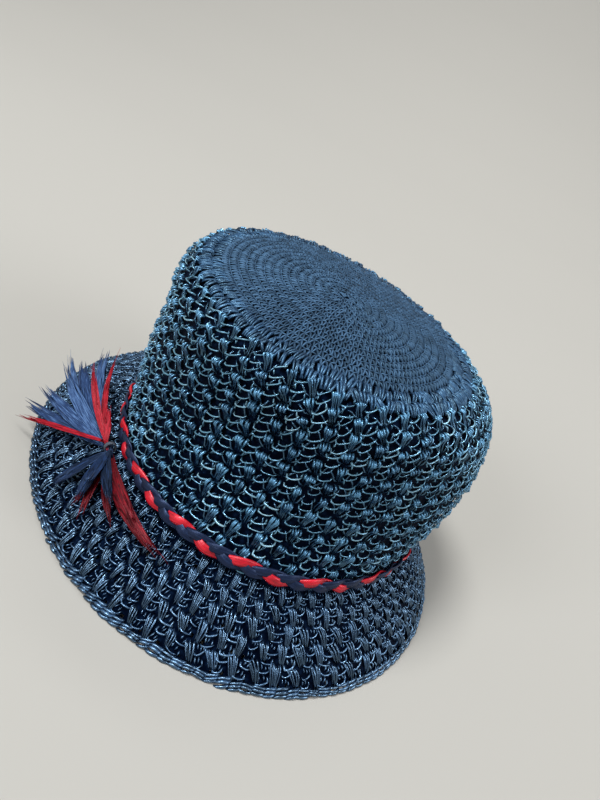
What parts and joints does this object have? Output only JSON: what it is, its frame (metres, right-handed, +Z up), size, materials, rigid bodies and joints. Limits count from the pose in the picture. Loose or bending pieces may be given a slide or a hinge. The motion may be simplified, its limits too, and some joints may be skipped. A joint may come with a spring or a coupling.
{
  "type": "crocheted sailor hat",
  "caption": "soft crocheted raffia hat with a flat round crown, a short sloping brim, a plaited band round the crown's foot and a two-ended ribbon tassel, worn on the head against the sun",
  "frame": {"origin": "on the table under the middle of the rim, at the bottom centre of the hat's box", "axes": "+Z up out of the crown, the front of the hat faces -Y, so +X is on the right as seen from the front; the tassel is at the front left, 220 degrees round from +X seen from above"},
  "size_m": [0.26, 0.27, 0.1428],
  "materials": {
    "navy_crochet_crown": "crocheted navy raffia ribbon, satin sheen",
    "navy_crochet_brim": "crocheted navy raffia ribbon, satin sheen",
    "band_strand_red_raffia": "plaited red raffia ribbon, satin sheen",
    "band_strand_navy_a_raffia": "plaited navy raffia ribbon, satin sheen",
    "band_strand_navy_b_raffia": "plaited navy raffia ribbon, satin sheen",
    "navy_ribbon": "flat cut navy raffia ribbon, satin sheen",
    "red_ribbon": "flat cut red raffia ribbon, satin sheen",
    "tie_thread": "pale grey thread, matt"
  },
  "bodies": {
    "root": {"crown": "navy_crochet_crown", "brim": "navy_crochet_brim", "band_strand_red": "band_strand_red_raffia", "band_strand_navy_a": "band_strand_navy_a_raffia", "band_strand_navy_b": "band_strand_navy_b_raffia", "tassel_navy": "navy_ribbon", "tassel_red": "red_ribbon", "tassel_tie": "tie_thread"}
  },
  "joints": []
}
